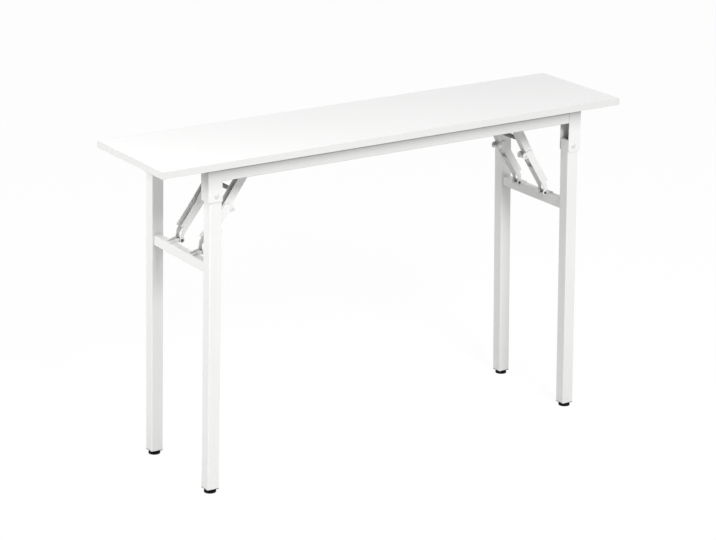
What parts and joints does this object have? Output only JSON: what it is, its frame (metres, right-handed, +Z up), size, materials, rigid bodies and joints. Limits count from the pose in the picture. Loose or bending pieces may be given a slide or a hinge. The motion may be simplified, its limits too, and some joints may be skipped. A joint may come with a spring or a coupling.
{
  "type": "folding bar table",
  "caption": "Long narrow white bar table with folding leg sets, jointed locking braces joined by a release rod, and screw-in glides.",
  "frame": {"origin": "on the floor under the middle of the top", "axes": "+X along the length of the top to the right, +Y to the rear, +Z up"},
  "size_m": [1.6, 0.39, 0.99],
  "materials": {
    "top_laminate": "satin white laminate over a pressed board",
    "edge_banding": "satin white plastic edge band",
    "powder_coat": "satin white powder coat on steel",
    "zinc_plate": "bright zinc plate",
    "dark_steel": "black coated steel",
    "grey_plastic": "moulded light grey plastic",
    "black_plastic": "moulded black plastic",
    "grey_sleeve": "soft dark grey sleeve"
  },
  "bodies": {
    "frame": {"top_board": "top_laminate", "edge_band_front": "edge_banding", "edge_band_rear": "edge_banding", "edge_band_left": "edge_banding", "edge_band_right": "edge_banding", "rail_front": "powder_coat", "rail_rear": "powder_coat", "board_tabs": "powder_coat", "board_screws": "zinc_plate", "cross_tube_left": "powder_coat", "bracket_front_left": "powder_coat", "hanger_lug_front_left": "powder_coat", "bracket_rear_left": "powder_coat", "hanger_lug_rear_left": "powder_coat", "pivot_rivets_left": "zinc_plate", "hanger_pins_left": "zinc_plate", "cross_tube_right": "powder_coat", "bracket_front_right": "powder_coat", "hanger_lug_front_right": "powder_coat", "bracket_rear_right": "powder_coat", "hanger_lug_rear_right": "powder_coat", "pivot_rivets_right": "zinc_plate", "hanger_pins_right": "zinc_plate"},
    "leg_set_left": {"leg_front_left": "powder_coat", "clevis_front_left": "powder_coat", "leg_rear_left": "powder_coat", "clevis_rear_left": "powder_coat", "crossbar_left": "powder_coat", "clevis_pins_left": "dark_steel", "leg_top_caps_left": "grey_plastic", "foot_plugs_left": "black_plastic"},
    "brace_lower_left": {"lower_link_front_left": "powder_coat", "lower_link_rear_left": "powder_coat", "knuckle_caps_left": "zinc_plate"},
    "brace_upper_left": {"upper_link_front_left": "powder_coat", "upper_link_rear_left": "powder_coat", "knuckle_rivets_left": "zinc_plate", "release_rod_left": "zinc_plate", "release_grip_left": "grey_sleeve"},
    "glide_front_left": {"glide_front_left": "black_plastic"},
    "glide_rear_left": {"glide_rear_left": "black_plastic"},
    "leg_set_right": {"leg_front_right": "powder_coat", "clevis_front_right": "powder_coat", "leg_rear_right": "powder_coat", "clevis_rear_right": "powder_coat", "crossbar_right": "powder_coat", "clevis_pins_right": "dark_steel", "leg_top_caps_right": "grey_plastic", "foot_plugs_right": "black_plastic"},
    "brace_lower_right": {"lower_link_front_right": "powder_coat", "lower_link_rear_right": "powder_coat", "knuckle_caps_right": "zinc_plate"},
    "brace_upper_right": {"upper_link_front_right": "powder_coat", "upper_link_rear_right": "powder_coat", "knuckle_rivets_right": "zinc_plate", "release_rod_right": "zinc_plate", "release_grip_right": "grey_sleeve"},
    "glide_front_right": {"glide_front_right": "black_plastic"},
    "glide_rear_right": {"glide_rear_right": "black_plastic"}
  },
  "joints": [
    {"name": "leg_fold_left", "type": "hinge", "parent": "frame", "child": "leg_set_left", "pos_m": [-0.6282, 0, 0.895], "axis": [0, -1, 0], "range_deg": [0, 91.32]},
    {"name": "lower_link_turn_left", "type": "hinge", "parent": "leg_set_left", "child": "brace_lower_left", "pos_m": [-0.60624, 0, 0.69744], "axis": [0, -1, 0], "range_deg": [0, 45.69]},
    {"name": "upper_link_turn_left", "type": "hinge", "parent": "frame", "child": "brace_upper_left", "pos_m": [-0.4256, 0, 0.938], "axis": [0, -1, 0], "range_deg": [-39.43, 0]},
    {"name": "glide_front_left_screw", "type": "slide", "parent": "leg_set_left", "child": "glide_front_left", "axis": [-0.023, 0, -0.9997], "range_m": [0, 0.008]},
    {"name": "glide_rear_left_screw", "type": "slide", "parent": "leg_set_left", "child": "glide_rear_left", "axis": [-0.023, 0, -0.9997], "range_m": [0, 0.008]},
    {"name": "leg_fold_right", "type": "hinge", "parent": "frame", "child": "leg_set_right", "pos_m": [0.6282, 0, 0.862], "axis": [0, 1, 0], "range_deg": [0, 90.4]},
    {"name": "lower_link_turn_right", "type": "hinge", "parent": "leg_set_right", "child": "brace_lower_right", "pos_m": [0.61071, 0, 0.68755], "axis": [0, 1, 0], "range_deg": [0, 13.95]},
    {"name": "upper_link_turn_right", "type": "hinge", "parent": "frame", "child": "brace_upper_right", "pos_m": [0.4615, 0, 0.938], "axis": [0, 1, 0], "range_deg": [-56.06, 0]},
    {"name": "glide_front_right_screw", "type": "slide", "parent": "leg_set_right", "child": "glide_front_right", "axis": [0.023, 0, -0.9997], "range_m": [0, 0.008]},
    {"name": "glide_rear_right_screw", "type": "slide", "parent": "leg_set_right", "child": "glide_rear_right", "axis": [0.023, 0, -0.9997], "range_m": [0, 0.008]}
  ],
  "couplings": [
    {"joint": "lower_link_turn_left", "follows": "leg_fold_left", "ratio": 0.50021},
    {"joint": "upper_link_turn_left", "follows": "leg_fold_left", "ratio": -0.43167},
    {"joint": "lower_link_turn_right", "follows": "leg_fold_right", "ratio": 0.15424},
    {"joint": "upper_link_turn_right", "follows": "leg_fold_right", "ratio": -0.62005}
  ]
}
